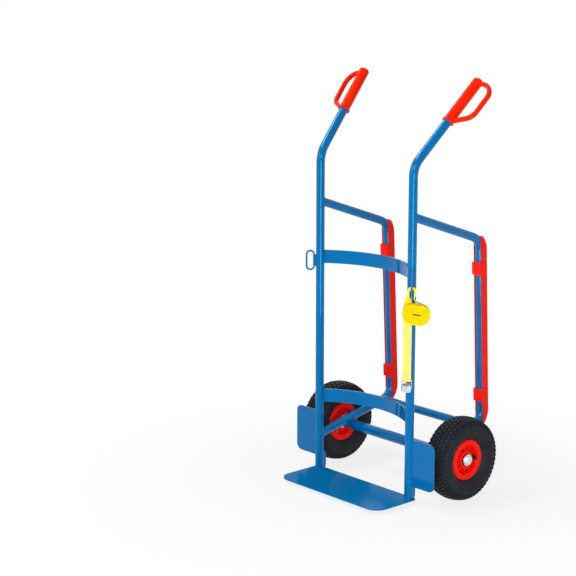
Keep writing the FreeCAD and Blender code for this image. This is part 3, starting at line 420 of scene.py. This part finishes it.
def make_tyre(side, sign):
    """Tyre with its blocks, standing for the plain one."""
    section = tyre_section()
    verts = []
    for i in range(TYRE_STEPS):
        theta = 2 * math.pi * i / TYRE_STEPS
        for x, r in section:
            verts.append(Vector((x, r * math.cos(theta), r * math.sin(theta))))
    faces = ring_faces(0, TYRE_STEPS, len(section), closed_rings=True)
    profile = list(reversed(tyre_side(False)))
    lengths = [0.0]
    for a, b in zip(profile, profile[1:]):
        lengths.append(lengths[-1] + math.dist(a, b))
    pitch = 2 * math.pi / BLOCKS_ROUND
    for i in range(BLOCKS_ROUND):
        for row, place in enumerate(TREAD_ROWS):
            for way in ((1,) if place == 0 else (1, -1)):
                angle = pitch * (i + (0.5 if row % 2 else 0.0))
                tread_block(verts, faces, way * place, angle, BLOCK_WIDTH, pitch * BLOCK_SHARE,
                            profile, lengths)
        for way in (1, -1):
            tread_block(verts, faces, way * OUTER_ROW, pitch * (i + 0.5), OUTER_WIDTH, pitch * OUTER_SHARE,
                        profile, lengths)
    centre = Vector((sign * WHEEL_X, axle_y, WHEEL_R))
    obj = mesh_object(side + "_block_tyre", [v + centre for v in verts], faces, rubber, side + "_wheel",
                      32.0)
    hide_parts(side + "_tyre")


make_tyre("left", -1)
make_tyre("right", 1)

# Weld beads
BEAD_R = 0.0022
BEAD_PITCH = 0.0034
BEAD_SIDES = 8
RIPPLE_STEPS = 4
BEAD_RIPPLE = 0.16
BEAD_FLICKER = 0.07
FLICKER_RATE = 37.0
BEAD_END = 0.55
BEAD_END_STEP = 0.25
SADDLE_STEPS = 40
AXLE_BEAD_R = 0.0021
AXLE_BEAD_REACH = (0.0075, 0.0085)
AXLE_BEAD_STEPS = 28
FOOT_BEAD_R = 0.0020
FOOT_BEAD_REACH = 0.0142
FOOT_BEAD_STEPS = 36
FOOT_BEAD_LIFT = 0.0009
BAR_BEAD_R = 0.0019
BAR_BEAD_INSET = 0.001
PLATE_BEAD_R = 0.0018
GUARD_BEAD_HALF = 0.013
GUARD_BEAD_SHARES = (0.10, 0.5, 0.90)
EYE_BEAD_R = 0.0012
AXLE_BEAD_LIFT = 0.0003
BEAD_SINK = 0.0002
BAR_BEAD_STEP = 0.0004
GUARD_BEAD_STEP = 0.0008
RIB_BEAD_STEP = 0.0006
RIB_BEAD_SINK = 0.0010
RIB_BEAD_LOW = 0.003
RIB_BEAD_HIGH = 0.006
weld_verts = []
weld_faces = []


def weld_bead(points, closed, radius=BEAD_R):
    """Rippled bead along points; each station is a ring across the run."""
    dense = []
    count = len(points)
    for i in range(count if closed else count - 1):
        a, b = points[i], points[(i + 1) % count]
        steps = max(1, round((b - a).length / (BEAD_PITCH / RIPPLE_STEPS)))
        dense += [a.lerp(b, k / steps) for k in range(steps)]
    if not closed:
        dense.append(points[-1])
    first = len(weld_verts)
    total = len(dense)
    run = 0.0
    for i, spot in enumerate(dense):
        ahead = dense[(i + 1) % total] if closed else dense[min(i + 1, total - 1)]
        behind = dense[i - 1] if closed else dense[max(i - 1, 0)]
        way = (ahead - behind).normalized()
        across = way.orthogonal().normalized()
        if i == 0:
            side = across
        side = (side - way * side.dot(way)).normalized()
        up = way.cross(side)
        run += (spot - behind).length if i else 0.0
        beat = run / BEAD_PITCH
        ripple = 1 + BEAD_RIPPLE * math.sin(2 * math.pi * beat) + BEAD_FLICKER * math.sin(FLICKER_RATE * beat)
        fade = 1.0 if closed else min(1.0, BEAD_END + BEAD_END_STEP * min(i, total - 1 - i))
        for k in range(BEAD_SIDES):
            turn = 2 * math.pi * k / BEAD_SIDES
            weld_verts.append(spot + (side * math.cos(turn) + up * math.sin(turn)) * (radius * ripple * fade))
    weld_faces.extend(ring_faces(first, total, BEAD_SIDES, closed_rings=closed, caps=not closed))


def saddle(foot, way, post_way, radius):
    """Closed curve where a tube that starts at a foot meets the post of the same radius."""
    flat = way - post_way * way.dot(post_way)
    flat.normalize()
    across = post_way.cross(flat).normalized()
    rise = across.cross(way).normalized()
    points = []
    for i in range(SADDLE_STEPS):
        turn = 2 * math.pi * i / SADDLE_STEPS
        side = radius * math.cos(turn)
        lift = radius * math.sin(turn)
        reach = math.sqrt(max(0.0, radius * radius - side * side))
        along = (reach - lift * rise.dot(flat)) / way.dot(flat)
        points.append(foot + way * along + across * side + rise * lift)
    return points


def upright_bead(base, low, high, radius):
    """Straight bead between two heights above a base point."""
    weld_bead([base + z_dir * low, base + z_dir * high], False, radius)


z_dir = Vector((0, 0, 1))
skid_top_way = Vector((0, SKID_SHOULDER[0], SKID_SHOULDER[1] - SKID_TOP_Z)).normalized()
leg_way = Vector((0, math.cos(LEG_ANGLE), math.sin(LEG_ANGLE)))
bow_radius = (HALF_SPACING ** 2 + BAR_BOW ** 2) / (2 * BAR_BOW)
bow_slope = math.asin(HALF_SPACING / bow_radius)
for sign in (-1, 1):
    post = Vector((sign * HALF_SPACING, plane_y, 0))
    weld_bead(saddle(post + z_dir * SKID_TOP_Z, skid_top_way, z_dir, TUBE_R), True)
    weld_bead(saddle(post + z_dir * SKID_FOOT_Z, leg_way, z_dir, TUBE_R), True)
    cross_end = post + Vector((0, CROSS_DEPTH, SKID_FOOT_Z + CROSS_DEPTH * math.tan(LEG_ANGLE)))
    weld_bead(saddle(cross_end, Vector((-sign, 0, 0)), leg_way, TUBE_R), True)
    lift = Vector((0, -math.sin(LEG_ANGLE), math.cos(LEG_ANGLE)))
    touch = Vector((sign * HALF_SPACING, axle_y, WHEEL_R)) + lift * (AXLE_TUBE_R + AXLE_BEAD_LIFT)
    ellipse = []
    for i in range(AXLE_BEAD_STEPS):
        turn = 2 * math.pi * i / AXLE_BEAD_STEPS
        sideways = Vector((AXLE_BEAD_REACH[0] * math.cos(turn), 0, 0))
        ellipse.append(touch + sideways + leg_way * (AXLE_BEAD_REACH[1] * math.sin(turn)))
    weld_bead(ellipse, True, AXLE_BEAD_R)
    foot = []
    for i in range(FOOT_BEAD_STEPS):
        turn = 2 * math.pi * i / FOOT_BEAD_STEPS
        ring = Vector((math.cos(turn), math.sin(turn), 0)) * FOOT_BEAD_REACH
        foot.append(post + ring + z_dir * (PLATE_TOP + FOOT_BEAD_LIFT))
    weld_bead(foot, True, FOOT_BEAD_R)
    out = Vector((-sign * math.cos(bow_slope), math.sin(bow_slope), 0))
    across = Vector((math.sin(bow_slope), sign * math.cos(bow_slope), 0))
    reach = math.sqrt(TUBE_R ** 2 - (BAR_THICK / 2) ** 2)
    half = BAR_HEIGHT / 2 - BAR_BEAD_INSET
    for height in (UPPER_BAR_Z, LOWER_BAR_Z):
        for face in (-1, 1):
            base = post + out * reach + across * (face * (BAR_THICK / 2 + BAR_BEAD_STEP))
            upright_bead(base, height - half, height + half, BAR_BEAD_R)
    eye_way = Vector((sign * HALF_ROOT, -HALF_ROOT, 0))
    eye_across = Vector((eye_way.y, -eye_way.x, 0))
    for face in (-1, 1):
        base = post + Vector((sign * (TUBE_R - BEAD_SINK), face * (GUARD_THICK / 2 + GUARD_BEAD_STEP), 0))
        for share in GUARD_BEAD_SHARES:
            height = GUARD_Z[0] + (GUARD_Z[1] - GUARD_Z[0]) * share
            upright_bead(base, height - GUARD_BEAD_HALF, height + GUARD_BEAD_HALF, PLATE_BEAD_R)
        base = post + Vector((face * (RIB_THICK / 2 + RIB_BEAD_STEP), TUBE_R - RIB_BEAD_SINK, 0))
        upright_bead(base, PLATE_TOP + RIB_BEAD_LOW, RIB_TOP - RIB_BEAD_HIGH, PLATE_BEAD_R)
        aside = eye_across * (face * (EYE_TAB_THICK / 2 + BAR_BEAD_STEP))
        base = post + eye_way * (TUBE_R - BEAD_SINK) + aside
        upright_bead(base, EYE_Z - EYE_TAB_HALF, EYE_Z + EYE_TAB_HALF, EYE_BEAD_R)
mesh_object("weld_beads", weld_verts, weld_faces, paint, "frame", 60.0)

# Strap: local axes at the right eye are sideways, up and out of the upright
eye_side = Vector((HALF_ROOT, HALF_ROOT, 0))
eye_out = Vector((HALF_ROOT, -HALF_ROOT, 0))
eye_foot = Vector((HALF_SPACING, plane_y, 0))


def at_eye(side, height, out):
    return eye_foot + eye_side * side + eye_out * out + Vector((0, 0, height))


FLAT_CUP = 0.01
EDGE_START = 0.99


def web_mesh(name, stations, mat, thickness, across=9, edge_share=0.45):
    """Closed band of webbing; a station is a centre, two directions, a width and a cup angle."""
    verts = []
    uvs = []
    run = 0.0
    last = None
    for centre, wide, face, width, cup in stations:
        if last is not None:
            run += (centre - last).length
        last = centre
        row_top = []
        row_low = []
        for i in range(across):
            share = i / (across - 1) * 2 - 1
            if cup > FLAT_CUP:
                radius = width / cup
                turn = share * cup / 2
                spot = centre + wide * (radius * math.sin(turn)) + face * (radius * (1 - math.cos(turn)))
                out = face * math.cos(turn) - wide * math.sin(turn)
            else:
                spot = centre + wide * (share * width / 2)
                out = face
            edge = 1.0 if abs(share) < EDGE_START else edge_share
            row_top.append((spot + out * (thickness / 2 * edge), (share / 2 + 0.5, run)))
            row_low.append((spot - out * (thickness / 2 * edge), (share / 2 + 0.5, run)))
        for spot, place in row_top + row_low[::-1]:
            verts.append(spot)
            uvs.append(place)
    count = 2 * across
    faces = ring_faces(0, len(stations), count, caps=True)
    obj = mesh_object(name, verts, faces, mat, "frame", 50.0, uvs)
    return obj, run


# Wound roll
ROLL_WEB = 0.00236
roll_half = (ROLL_LENGTH - ROLL_DEPTH) / 2
ROLL_TILT = math.radians(-10.0)
roll_turn = Matrix.Rotation(ROLL_TILT, 2)
half_turns = 2 * ROLL_TURNS
stations = []
ARC_STEPS = 14
WANDER = 0.0007
SLOW_WANDER = 0.0005
WANDER_STEP = 1.9
WANDER_TURN = 0.8
SLOW_STEP = 0.7
for k in range(half_turns):
    left_over = half_turns - 1 - k
    way = 1 if left_over % 2 == 0 else -1
    drop = 0.0 if way == 1 else -ROLL_PITCH / 2
    radius = ROLL_DEPTH / 2 - WEB_THICK / 2 - left_over * ROLL_PITCH / 2
    for i in range(ARC_STEPS + 1):
        turn = math.pi * i / ARC_STEPS
        side = way * (roll_half + radius * math.sin(turn))
        up = drop - way * radius * math.cos(turn)
        wander = WANDER * math.sin(WANDER_STEP * k + WANDER_TURN * turn)
        wander += SLOW_WANDER * math.sin(SLOW_STEP * k)
        out = Vector((way * math.sin(turn), -way * math.cos(turn)))
        spot = roll_turn @ Vector((side, up))
        face = roll_turn @ out
        stations.append((at_eye(ROLL_SIDE + spot.x, ROLL_Z + spot.y, ROLL_BACK + WEB_WIDTH / 2 + wander),
                         eye_out, eye_side * face.x + Vector((0, 0, face.y)), WEB_WIDTH, 0.0))
roll, roll_run = web_mesh("wound_strap", stations, web_deep, ROLL_WEB, 5, 0.88)
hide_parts("strap_roll")

# Hanging band: from the roll's top, over the eye's lower bend, down to the buckle's bar and back up a little
SADDLE_R = 0.0067
LEAVE_GAP = 0.0012
ARRIVE_RISE = 0.019
ENTRY_CUP = 0.47
SADDLE_CUP = 2.6
RISE_STEPS = 8
BEND_STEPS = 14
FALL_STEPS = 18
stations = []


def band(side, height, out, wide, face, width, cup):
    stations.append((at_eye(side, height, out), wide, face, width, cup))


up_dir = Vector((0, 0, 1))
roll_mid = ROLL_BACK + WEB_WIDTH / 2
leave = roll_turn @ Vector((roll_half, ROLL_DEPTH / 2 + LEAVE_GAP))
leave += Vector((ROLL_SIDE, ROLL_Z))
leave_way = roll_turn @ Vector((-1, 0))
arrive = Vector((SADDLE_R, leave.y + ARRIVE_RISE))
arrive_way = Vector((0, 1))
RUN_STEPS = 16
RUN_PULL = 0.032
for i in range(RUN_STEPS + 1):
    t = i / RUN_STEPS
    spot = (leave * (2 * t ** 3 - 3 * t ** 2 + 1) + leave_way * (RUN_PULL * (t ** 3 - 2 * t ** 2 + t))
            + arrive * (3 * t ** 2 - 2 * t ** 3) + arrive_way * (RUN_PULL * (t ** 3 - t ** 2)))
    way = (leave * (6 * t ** 2 - 6 * t) + leave_way * (RUN_PULL * (3 * t ** 2 - 4 * t + 1))
           + arrive * (6 * t - 6 * t ** 2) + arrive_way * (RUN_PULL * (3 * t ** 2 - 2 * t))).normalized()
    band(spot.x, spot.y, roll_mid, eye_out, eye_side * way.y - up_dir * way.x, WEB_WIDTH, ENTRY_CUP * t * t)
rise_start = arrive.y
for i in range(1, RISE_STEPS + 1):
    share = i / RISE_STEPS
    ease = share * share * (3 - 2 * share)
    height = rise_start + (SADDLE_Z - rise_start) * share
    band(SADDLE_R, height, roll_mid + (EYE_MIDDLE - roll_mid) * ease, eye_out, eye_side, WEB_WIDTH,
         ENTRY_CUP + (SADDLE_CUP - ENTRY_CUP) * ease)
for i in range(1, BEND_STEPS + 1):
    turn = math.pi * i / BEND_STEPS
    face = eye_side * math.cos(turn) + up_dir * math.sin(turn)
    band(SADDLE_R * math.cos(turn), SADDLE_Z + SADDLE_R * math.sin(turn), EYE_MIDDLE, eye_out, face,
         WEB_WIDTH, SADDLE_CUP)
for i in range(1, FALL_STEPS + 1):
    share = i / FALL_STEPS
    ease = share * share * (3 - 2 * share)
    angle = ease * math.pi / 2
    face = -eye_side * math.cos(angle) + eye_out * -math.sin(angle)
    wide = eye_out * math.cos(angle) - eye_side * math.sin(angle)
    height = SADDLE_Z + (LEG_TOP_Z - SADDLE_Z) * share
    band(-SADDLE_R + (LEG_SIDE + SADDLE_R) * ease, height, EYE_MIDDLE + (LEG_OUT - EYE_MIDDLE) * ease,
         wide, face, WEB_WIDTH, SADDLE_CUP * (1 - ease))
BAR_CLEARANCE = 0.0004
LEG_STOP = 0.006
LEG_STEPS = 26
LOOP_STEPS = 12
RETURN_STEPS = 8
RETURN = 0.038
RETURN_SPREAD = 0.0014
LEG_SWAY = 0.0012
SWAY_RATE = 5.0
SWAY_START = 0.4
BEND_SHARE = 0.86
LEG_CUP = 0.10
bar_loop_r = BAR_R + BAR_CLEARANCE + WEB_THICK / 2
leg_end = LEG_BOTTOM_Z + LEG_STOP


def leg_place(share):
    """How far the hanging leg stands out, and how near it is to its bend round the bar."""
    near = max(0.0, (share - BEND_SHARE) / (1 - BEND_SHARE))
    sway = LEG_SWAY * math.sin(SWAY_RATE * share + SWAY_START)
    return LEG_OUT + sway * (1 - near) + bar_loop_r * near, near


for i in range(1, LEG_STEPS + 1):
    share = i / LEG_STEPS
    height = LEG_TOP_Z + (leg_end - LEG_TOP_Z) * share
    out, near = leg_place(share)
    band(LEG_SIDE, height, out, -eye_side, -eye_out, WEB_WIDTH, LEG_CUP * (1 - near))
for i in range(1, LOOP_STEPS + 1):
    turn = math.pi * i / LOOP_STEPS
    face = -eye_out * math.cos(turn) + up_dir * math.sin(turn)
    band(LEG_SIDE, LEG_BOTTOM_Z - bar_loop_r * math.sin(turn), LEG_OUT + bar_loop_r * math.cos(turn),
         -eye_side, face, WEB_WIDTH, 0.0)
for i in range(1, RETURN_STEPS + 1):
    share = i / RETURN_STEPS
    out = LEG_OUT - bar_loop_r + RETURN_SPREAD * min(1.0, share * 2)
    band(LEG_SIDE, LEG_BOTTOM_Z + RETURN * share, out, -eye_side, eye_out, WEB_WIDTH, 0.0)
strap, strap_run = web_mesh("hanging_strap", stations, web_pale, WEB_THICK)
# The faces above the leg take the lighter webbing copy: painted light on the same strap
strap.data.materials.append(web_top_painted_light)
for polygon in strap.data.polygons:
    if polygon.center.z > LEG_TOP_Z:
        polygon.material_index = 1
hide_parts("strap_band")

# Stitches that hold the strap's doubled end
STITCH_LENGTH = 0.0021
STITCH_PITCH = 0.0030
STITCH_R = 0.0004
STITCH_SIDES = 6
STITCH_HALF_WIDTH = 0.0092
STITCH_LOW = 0.018
STITCH_HIGH = 0.034
STITCH_SHAPE = ((-1, 0.45), (-0.6, 1.0), (0.6, 1.0), (1, 0.45))
stitch_verts = []
stitch_faces = []


def on_leg(side, height):
    """Point on the front face of the hanging leg."""
    share = (LEG_TOP_Z - height) / (LEG_TOP_Z - leg_end)
    return at_eye(LEG_SIDE + side, height, leg_place(share)[0] + WEB_THICK / 2)


def stitch_row(start, end):
    """Row of short rounded stitches between two places on the leg."""
    length = math.dist(start, end)
    count = max(2, round(length / STITCH_PITCH))
    half = STITCH_LENGTH / 2 / length
    for i in range(count):
        middle_share = (i + 0.5) / count
        first = len(stitch_verts)
        for along, size in STITCH_SHAPE:
            share = middle_share + along * half
            place = Vector(start).lerp(Vector(end), share)
            ahead = Vector(end) - Vector(start)
            way = (eye_side * ahead.x + up_dir * ahead.y).normalized()
            across = eye_out.cross(way)
            for k in range(STITCH_SIDES):
                turn = 2 * math.pi * k / STITCH_SIDES
                ring = across * math.cos(turn) + eye_out * math.sin(turn)
                stitch_verts.append(on_leg(place.x, place.y) + ring * (STITCH_R * size))
        stitch_faces.extend(ring_faces(first, len(STITCH_SHAPE), STITCH_SIDES, caps=True))


low, high = LEG_BOTTOM_Z + STITCH_LOW, LEG_BOTTOM_Z + STITCH_HIGH
frame_corners = [(-STITCH_HALF_WIDTH, low), (STITCH_HALF_WIDTH, low), (STITCH_HALF_WIDTH, high),
                 (-STITCH_HALF_WIDTH, high)]
for a, b in zip(frame_corners, frame_corners[1:] + frame_corners[:1]):
    stitch_row(a, b)
stitch_row(frame_corners[0], frame_corners[2])
stitch_row(frame_corners[1], frame_corners[3])
mesh_object("strap_stitches", stitch_verts, stitch_faces, thread, "frame", 50.0)

# Floor and background
FLOOR_REACH = 12.0
FLOOR_TONE = 0.86
SHADOW_NEAR = 0.35
SHADOW_FAR = 1.1
SHADOW_WHITE = 0.80
AMBIENT = 0.24
floor_mesh = bpy.data.meshes.new("floor")
floor_corners = [(x * FLOOR_REACH, y * FLOOR_REACH, 0) for x, y in ((-1, -1), (1, -1), (1, 1), (-1, 1))]
floor_mesh.from_pydata(floor_corners, [], [(0, 1, 2, 3)])
floor = bpy.data.objects.new("floor", floor_mesh)
bpy.context.scene.collection.objects.link(floor)


def seen_directly(tree):
    """One for camera, glossy and transmission rays, otherwise zero."""
    path = tree.nodes.new("ShaderNodeLightPath")
    first = tree.nodes.new("ShaderNodeMath")
    first.operation = "MAXIMUM"
    tree.links.new(path.outputs["Is Camera Ray"], first.inputs[0])
    tree.links.new(path.outputs["Is Glossy Ray"], first.inputs[1])
    second = tree.nodes.new("ShaderNodeMath")
    second.operation = "MAXIMUM"
    tree.links.new(first.outputs["Value"], second.inputs[0])
    tree.links.new(path.outputs["Is Transmission Ray"], second.inputs[1])
    return second.outputs["Value"]


floor_mat, tree, bsdf = new_material("pale_floor")
bsdf.inputs["Base Color"].default_value = (FLOOR_TONE, FLOOR_TONE, FLOOR_TONE, 1)
bsdf.inputs["Roughness"].default_value = 0.9
bsdf.inputs["Specular IOR Level"].default_value = 0.1
glow = tree.nodes.new("ShaderNodeEmission")
glow.inputs["Strength"].default_value = 1.0
mix = tree.nodes.new("ShaderNodeMixShader")
far = tree.nodes.new("ShaderNodeVectorMath")
far.operation = "LENGTH"
tree.links.new(object_coords(tree), far.inputs[0])
fade = tree.nodes.new("ShaderNodeMapRange")
fade.interpolation_type = "SMOOTHSTEP"
fade.inputs["From Min"].default_value = SHADOW_NEAR
fade.inputs["From Max"].default_value = SHADOW_FAR
fade.inputs["To Min"].default_value = SHADOW_WHITE
fade.inputs["To Max"].default_value = 1.0
tree.links.new(far.outputs["Value"], fade.inputs["Value"])
share = tree.nodes.new("ShaderNodeMath")
share.operation = "MULTIPLY"
tree.links.new(seen_directly(tree), share.inputs[0])
tree.links.new(fade.outputs["Result"], share.inputs[1])
tree.links.new(share.outputs["Value"], mix.inputs["Fac"])
tree.links.new(bsdf.outputs["BSDF"], mix.inputs[1])
tree.links.new(glow.outputs["Emission"], mix.inputs[2])
tree.links.new(mix.outputs["Shader"], tree.nodes["Material Output"].inputs["Surface"])
floor_mesh.materials.append(floor_mat)

world = bpy.data.worlds.new("studio")
bpy.context.scene.world = world
world.use_nodes = True
tree = world.node_tree
ambient = tree.nodes["Background"]
ambient.inputs["Color"].default_value = (1, 1, 1, 1)
ambient.inputs["Strength"].default_value = AMBIENT
white = tree.nodes.new("ShaderNodeBackground")
white.inputs["Color"].default_value = (1, 1, 1, 1)
white.inputs["Strength"].default_value = 1.0
mix = tree.nodes.new("ShaderNodeMixShader")
tree.links.new(seen_directly(tree), mix.inputs["Fac"])
tree.links.new(ambient.outputs["Background"], mix.inputs[1])
tree.links.new(white.outputs["Background"], mix.inputs[2])
tree.links.new(mix.outputs["Shader"], tree.nodes["World Output"].inputs["Surface"])


def area_light(name, place, aim, size, power):
    data = bpy.data.lights.new(name, "AREA")
    data.shape = "RECTANGLE"
    data.size, data.size_y = size
    data.energy = power
    lamp = bpy.data.objects.new(name, data)
    lamp.visible_camera = False
    lamp.location = place
    lamp.rotation_euler = (Vector(place) - Vector(aim)).to_track_quat("Z", "Y").to_euler()
    bpy.context.scene.collection.objects.link(lamp)


LAMP_AIM = (0.0, 0.0, 0.6)
LAMPS = (
    ("key", (2.5, -2.98, 2.17), (0.9, 0.9), 34.0),
    ("left", (-0.9, -2.8, 1.9), (0.8, 1.2), 19.0),
    ("fill", (1.70, -1.25, 0.5), (1.0, 1.1), 25.0),
    ("rim", (-2.6, 2.8, 2.6), (1.4, 2.0), 22.0),
    ("top", (-1.3, -1.2, 3.4), (2.0, 0.6), 46.0),
)
for name, place, size, power in LAMPS:
    area_light(name, place, LAMP_AIM, size, power)

# Camera at the photograph's viewing angle
PHOTO_SIZE = 576
FOCAL_PX = 1689.7
SENSOR = 36.0
AZIMUTH = math.radians(48.3)
ELEVATION = math.radians(12.2)
DISTANCE = 5.4381
AIM_X = -0.3521
AIM_Z = 0.5828
aim = Vector((AIM_X, plane_y, AIM_Z))
back = Vector((math.sin(AZIMUTH) * math.cos(ELEVATION), -math.cos(AZIMUTH) * math.cos(ELEVATION),
               math.sin(ELEVATION)))
camera_data = bpy.data.cameras.new("camera")
camera_data.sensor_width = SENSOR
camera_data.lens = FOCAL_PX / PHOTO_SIZE * SENSOR
camera = bpy.data.objects.new("camera", camera_data)
camera.location = aim + back * DISTANCE
camera.rotation_euler = back.to_track_quat("Z", "Y").to_euler()
bpy.context.scene.collection.objects.link(camera)
bpy.context.scene.camera = camera
bpy.context.scene.view_settings.view_transform = "Standard"
